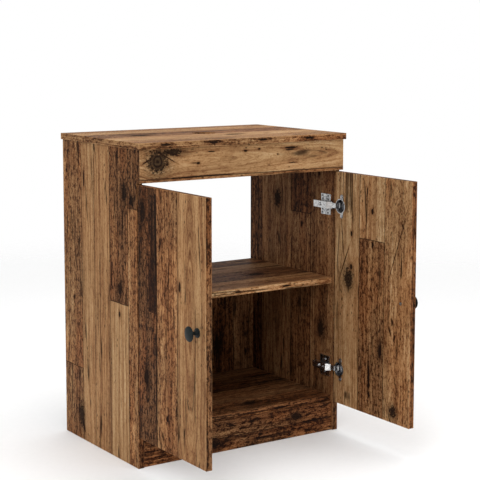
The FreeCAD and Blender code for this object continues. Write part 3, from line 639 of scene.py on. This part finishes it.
decor(
    "toe_kick", "z", "x",
    [Plank(-9, 33, 0.38, 0.95), Plank(33, 99, 0.44, 0.90)],
    [Knot(22, 190, 9, 17), Knot(52, 430, 8, 14)],
    [Mark(50, 80, 2, 16), Mark(16, 330, 1.6, 20), Mark(60, 300, 2.4, 6), Mark(34, 480, 1.4, 30)],
)
decor(
    "rear_rail", "z", "x",
    [Plank(-9, 40, 0.50, 0.50), Plank(40, 99, 0.38, 0.65)],
    [Knot(24, 360, 9, 15)],
    [Mark(55, 120, 2.4, 9), Mark(20, 90, 2, 14)],
)
decor(
    "back_panel", "x", "z",
    [
        Plank(-9, 96, 0.30, 0.70), Plank(96, 200, 0.42, 0.55), Plank(200, 288, 0.26, 0.80),
        Plank(288, 395, 0.40, 0.60), Plank(395, 480, 0.34, 0.70), Plank(480, 600, 0.44, 0.50),
    ],
    [Knot(150, 210, 11, 20), Knot(430, 90, 10, 17)],
    [Mark(60, 120, 3, 8), Mark(330, 240, 2.4, 16), Mark(520, 60, 3, 7)],
)


def metal(name, bright, dull, roughness, uneven=1.0):
    """A plated or bare metal; scratches and smudges vary its colour, gloss and relief."""
    material, tree, shader = new_material(name)
    outputs = use(
        tree, PLATED_METAL, Position=object_position(tree), Bright=(*bright, 1), Dull=(*dull, 1),
        Smooth=roughness, Uneven=uneven,
    )
    feed(tree, shader["Base Color"], outputs["Colour"])
    feed(tree, shader["Roughness"], outputs["Roughness"])
    feed(tree, shader["Normal"], relief(tree, outputs["Height"], 0.05 * MM, 0.5))
    shader["Metallic"].default_value = 1.0
    return material


# bright colour, dull colour and roughness of the hinges' plain nickel
NICKEL = ((0.74, 0.74, 0.73), (0.30, 0.30, 0.31), 0.20)
# the small holes of a mounting plate: along its width, and up or down from its middle
PLATE_COLUMNS = (-10.0 * MM, 11.5 * MM)
PLATE_ROWS = (13.0 * MM, 21.0 * MM)
polished_nickel = metal("nickel_plate", (0.90, 0.90, 0.89), (0.56, 0.56, 0.56), 0.15)
bright_steel = metal("screw_steel", (0.70, 0.70, 0.71), (0.50, 0.50, 0.51), 0.22)
pin_steel = metal("pin_steel", (0.60, 0.60, 0.61), (0.42, 0.41, 0.40), 0.28)
zinc = metal("fitting_zinc", (0.58, 0.59, 0.60), (0.40, 0.41, 0.43), 0.38, 1.6)


def paint_shade_over(material, mask, colour):
    """Paint shade over a metal: a darker colour where the mask is 1."""
    tree = material.node_tree
    base = tree.nodes["Principled BSDF"].inputs["Base Color"]
    feed(tree, base, mix(tree, "RGBA", mask, base.links[0].from_socket, (*colour, 1.0)))


def punched_nickel(node):
    """Nickel plate with shade inside the eight small holes: two columns and two rows of them,
    mirrored about the plate's middle height."""
    material = metal("nickel_" + node, *NICKEL)
    tree = material.node_tree
    low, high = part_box(node)
    place = vector_math(tree, "SUBTRACT", object_position(tree), (low + high) / 2)
    _, run, height = separate(tree, place)
    rise = math(tree, "ABSOLUTE", height)
    nearest = 1.0
    for column in PLATE_COLUMNS:
        for row in PLATE_ROWS:
            offset = combine(
                tree, math(tree, "SUBTRACT", run, column), math(tree, "SUBTRACT", rise, row),
            )
            nearest = math(tree, "MINIMUM", nearest, vector_math(tree, "LENGTH", offset))
    # painted shade: a near-black colour in and around the eight small holes of the plate
    paint_shade_over(material, smooth(tree, nearest, 3.0 * MM, 1.9 * MM), (0.03, 0.03, 0.035))
    return material


def cupped_nickel(node, inwards):
    """Nickel cup with painted shade below its flange, inside the cup; inwards is +1 where the cup goes
    towards +x.
    """
    material = metal("nickel_" + node, *NICKEL)
    tree = material.node_tree
    low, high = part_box(node)
    flange = low.x if inwards > 0 else high.x
    across = separate(tree, object_position(tree))[0]
    depth = math(tree, "MULTIPLY", math(tree, "SUBTRACT", across, flange), inwards)
    # painted shade: a darker grey inside the cup, from 2 mm below the flange inwards
    paint_shade_over(material, smooth(tree, depth, 2.0 * MM, 8.0 * MM), (0.16, 0.16, 0.17))
    return material


def beech():
    """Turned beech: faint rings and short dark flecks along the dowel."""
    material, tree, shader = new_material("dowel_beech")
    position = object_position(tree)
    flecks = noise(tree, vector_math(tree, "MULTIPLY", position, (900.0, 900.0, 900.0)), detail=2)
    waves = noise(tree, position, scale=90, detail=2)
    tone = math(tree, "MULTIPLY_ADD", waves, 0.6, math(tree, "MULTIPLY", flecks, 0.4))
    feed(tree, shader["Base Color"], ramp(tree, tone, [(0.3, (0.42, 0.25, 0.13)), (0.7, (0.62, 0.43, 0.26))]))
    feed(tree, shader["Roughness"], math(tree, "MULTIPLY_ADD", flecks, 0.2, 0.5))
    feed(tree, shader["Normal"], relief(tree, flecks, 0.1 * MM))
    return material


def black_paint():
    """Matt blue-black paint: a fine orange peel, a cloudy tone and a rubbed rim."""
    material, tree, shader = new_material("knob_black")
    position = object_position(tree)
    peel = noise(tree, position, scale=1500, detail=2)
    clouds = noise(tree, position, scale=120, detail=3)
    colour = ramp(
        tree, clouds,
        [(0.3, (0.003, 0.005, 0.005)), (0.55, (0.005, 0.009, 0.009)), (0.8, (0.011, 0.016, 0.016))],
    )
    edges = tree.nodes.new("ShaderNodeNewGeometry").outputs["Pointiness"]
    rubbed = math(tree, "MULTIPLY", smooth(tree, edges, 0.52, 0.58), smooth(tree, clouds, 0.4, 0.6))
    colour = mix(tree, "RGBA", math(tree, "MULTIPLY", rubbed, 0.5), colour, (0.11, 0.115, 0.12, 1.0))
    feed(tree, shader["Base Color"], colour)
    feed(tree, shader["Roughness"], math(tree, "MULTIPLY_ADD", clouds, 0.22, 0.34))
    feed(tree, shader["Normal"], relief(tree, peel, 0.06 * MM, 0.6))
    shader["Specular IOR Level"].default_value = 0.14
    return material


HINGES = [f"{hand}_{height}" for hand in ("left", "right") for height in ("lower", "upper")]
finish_nodes([f"hinge_arm_{hinge}" for hinge in HINGES], polished_nickel)
for hinge in HINGES:
    inwards = -1.0 if hinge.startswith("left") else 1.0
    finish_nodes([f"hinge_cup_{hinge}"], cupped_nickel(f"hinge_cup_{hinge}", inwards))
    finish_nodes([f"hinge_plate_{hinge}"], punched_nickel(f"hinge_plate_{hinge}"))
finish_nodes([f"hinge_pin_{hinge}" for hinge in HINGES], pin_steel)
finish_nodes([f"clamp_screw_{hinge}" for hinge in HINGES], bright_steel)
finish_nodes([f"adjusting_screw_{hinge}" for hinge in HINGES], bright_steel)
finish_nodes(["cup_screws_left", "cup_screws_right", "plate_screws", "cam_bolts"], bright_steel)
finish_nodes(["knob_screw_left", "knob_screw_right", "back_panel_nails"], bright_steel)
finish_nodes(["cam_housings"], zinc)
finish_nodes(["wood_dowels"], beech())
knob_paint = black_paint()


# ---------------------------------------------------------------- surfaces
def surface(name, points, material):
    """A mesh from a grid of points, rows by columns: columns close on themselves, and the
    first and last rows are single points, repeated."""
    rows, columns = points.shape[:2]
    index = np.arange(rows * columns).reshape(rows, columns)
    lower, upper = index[:-1], index[1:]
    faces = np.stack([lower, np.roll(lower, -1, 1), np.roll(upper, -1, 1), upper], -1).reshape(-1, 4)
    mesh = bpy.data.meshes.new(name)
    mesh.from_pydata(points.reshape(-1, 3), [], faces.tolist())
    mesh.polygons.foreach_set("use_smooth", np.ones(len(faces), bool))
    mesh.materials.append(material)
    piece = bpy.data.objects.new(name, mesh)
    bpy.context.scene.collection.objects.link(piece)
    return piece


def arc(centre, radius, start, end, steps):
    """Points of a circular arc in the (radius, height) plane, angles in degrees."""
    angle = np.radians(np.linspace(start, end, steps))
    return np.c_[centre[0] + radius * np.cos(angle), centre[1] + radius * np.sin(angle)]


def weld(piece):
    """Merge the points of a pole or seam and turn the faces outwards."""
    shell = bmesh.new()
    shell.from_mesh(piece.data)
    bmesh.ops.remove_doubles(shell, verts=shell.verts, dist=1e-6)
    bmesh.ops.recalc_face_normals(shell, faces=shell.faces)
    shell.to_mesh(piece.data)
    shell.free()


def knob_profile(reach):
    """The knob's half section as (radius, height): a rose with a rounded shoulder, a waisted
    neck in one concave arc, and a thin disc with a rounded rim and a low crown."""
    rose, neck, head = 10.5 * MM, 4.5 * MM, 16.5 * MM
    rose_top, disc = 2.5 * MM, reach - 5.0 * MM
    rim = 1.5 * MM
    height = disc - rose_top
    waist = np.linspace(0, 1, 25)[:, None]
    hollow = np.sin(np.pi * waist[:, 0]) ** 0.7
    foot, collar = neck + 2.4 * MM, neck + 3.2 * MM
    neck_line = np.c_[
        foot + (collar - foot) * waist[:, 0] - (collar - neck + 0.2 * MM) * hollow,
        rose_top + height * waist[:, 0],
    ]
    crown = np.linspace(1, 0, 16)
    crown_line = np.c_[(head - rim) * crown, reach - 2.0 * MM * crown**2]
    return np.vstack(
        [
            [[0.0, 0.0], [rose - 0.4 * MM, 0.0]],
            arc((rose - 0.4 * MM, 0.4 * MM), 0.4 * MM, -60, 0, 4),
            arc((rose - 1.2 * MM, rose_top - 1.2 * MM), 1.2 * MM, 0, 90, 8),
            neck_line,
            [[head - rim - 2.5 * MM, disc - 0.1 * MM]],
            arc((head - rim, disc + rim), rim, -90, 90, 14),
            crown_line[1:],
        ]
    )


def knob(side, sign):
    """A turned knob: its profile swung round the line of its screw."""
    low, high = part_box(f"knob_{side}")
    reach = high.x - low.x
    centre = (low + high) / 2
    base = low.x if sign > 0 else high.x
    profile = knob_profile(reach)
    turn = np.linspace(0, 2 * np.pi, 72, endpoint=False)
    radius, height = profile[:, :1], profile[:, 1:]
    points = np.stack(
        [
            base + sign * np.repeat(height, len(turn), 1),
            centre.y + radius * np.cos(turn),
            centre.z + radius * np.sin(turn),
        ],
        -1,
    )
    piece = surface(f"turned_knob_{side}", points, knob_paint)
    weld(piece)
    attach(piece, f"{side}_door")
    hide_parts(f"knob_{side}")


knob("left", -1)
knob("right", 1)


# ---------------------------------------------------------------- studio
# strength of the air, and watts of the three lights
AIR_STRENGTH = 0.80
KEY_POWER = 45.0
FILL_POWER = 15.0
TOP_POWER = 60.0


def plain(name, colour, roughness):
    """An even matt finish with the faintest speckle."""
    material, tree, shader = new_material(name)
    speckle = noise(tree, object_position(tree), scale=60, detail=2)
    low, high = [c * 0.985 for c in colour], colour
    feed(tree, shader["Base Color"], ramp(tree, speckle, [(0.3, low), (0.7, high)]))
    shader["Roughness"].default_value = roughness
    return material


def floor():
    """A pale floor that fades into the white air a few metres from the cabinet."""
    material = plain("studio_floor", (0.95, 0.95, 0.95), 0.9)
    tree = material.node_tree
    flat = vector_math(tree, "MULTIPLY", object_position(tree), (1.0, 1.0, 0.0))
    away = vector_math(tree, "LENGTH", flat)
    feed(tree, tree.nodes["Principled BSDF"].inputs["Alpha"], smooth(tree, away, 3.2, 1.3))
    mesh = bpy.data.meshes.new("studio_floor")
    span = 3.4
    corners = [(-span, -span, 0), (span, -span, 0), (span, span, 0), (-span, span, 0)]
    mesh.from_pydata(corners, [], [(0, 1, 2, 3)])
    mesh.materials.append(material)
    piece = bpy.data.objects.new("studio_floor", mesh)
    bpy.context.scene.collection.objects.link(piece)
    piece.location.z = -0.0005


def soft_box(name, place, aim, width, height, power):
    """A rectangular lamp at a place, turned to face its aim."""
    lamp = bpy.data.lights.new(name, "AREA")
    lamp.shape = "RECTANGLE"
    lamp.size = width
    lamp.size_y = height
    lamp.energy = power
    piece = bpy.data.objects.new(name, lamp)
    piece.location = place
    piece.rotation_euler = (Vector(aim) - Vector(place)).to_track_quat("-Z", "Y").to_euler()
    bpy.context.scene.collection.objects.link(piece)


def air():
    """White air: plain white to the camera, and softer from below than from above as light."""
    world = bpy.data.worlds.new("studio_air")
    world.use_nodes = True
    tree = world.node_tree
    seen = tree.nodes["Background"]
    seen.inputs["Color"].default_value = (1.0, 1.0, 1.0, 1.0)
    light = tree.nodes.new("ShaderNodeBackground")
    direction = tree.nodes.new("ShaderNodeTexCoord").outputs["Generated"]
    height = separate(tree, direction)[2]
    upwards = math(tree, "MULTIPLY_ADD", height, 0.5, 0.5)
    greys = [(0.0, (0.55, 0.55, 0.55)), (0.55, (0.80, 0.80, 0.80)), (1.0, (1.0, 1.0, 1.0))]
    feed(tree, light.inputs["Color"], ramp(tree, upwards, greys))
    light.inputs["Strength"].default_value = AIR_STRENGTH
    blend = tree.nodes.new("ShaderNodeMixShader")
    feed(tree, blend.inputs[0], tree.nodes.new("ShaderNodeLightPath").outputs["Is Camera Ray"])
    feed(tree, blend.inputs[1], light.outputs[0])
    feed(tree, blend.inputs[2], seen.outputs[0])
    feed(tree, tree.nodes["World Output"].inputs[0], blend.outputs[0])
    bpy.context.scene.world = world


def studio():
    """White air, a key light from the left, a fill from the front and a light above."""
    air()
    middle = (0, -0.3, 0.4)
    soft_box("key_light", (-2.6, -2.4, 2.2), middle, 2.0, 2.0, KEY_POWER)
    soft_box("fill_light", (1.4, -3.0, 1.6), middle, 2.2, 2.2, FILL_POWER)
    soft_box("top_light", (0.2, -0.6, 3.6), middle, 2.6, 2.6, TOP_POWER)
    bpy.context.scene.view_settings.view_transform = "Standard"


def camera():
    """A long lens a metre up, looking at the cabinet from its front left."""
    lens = bpy.data.cameras.new("camera")
    lens.sensor_width = 36.0
    lens.lens = 100.4
    lens.shift_x = 0.0194
    lens.shift_y = -0.10
    piece = bpy.data.objects.new("camera", lens)
    piece.location = (-1.7345, -2.9482, 0.9814)
    piece.rotation_euler = Euler(np.radians((90 - 6.68, 0, -33.353)))
    bpy.context.scene.collection.objects.link(piece)
    bpy.context.scene.camera = piece


floor()
studio()
camera()
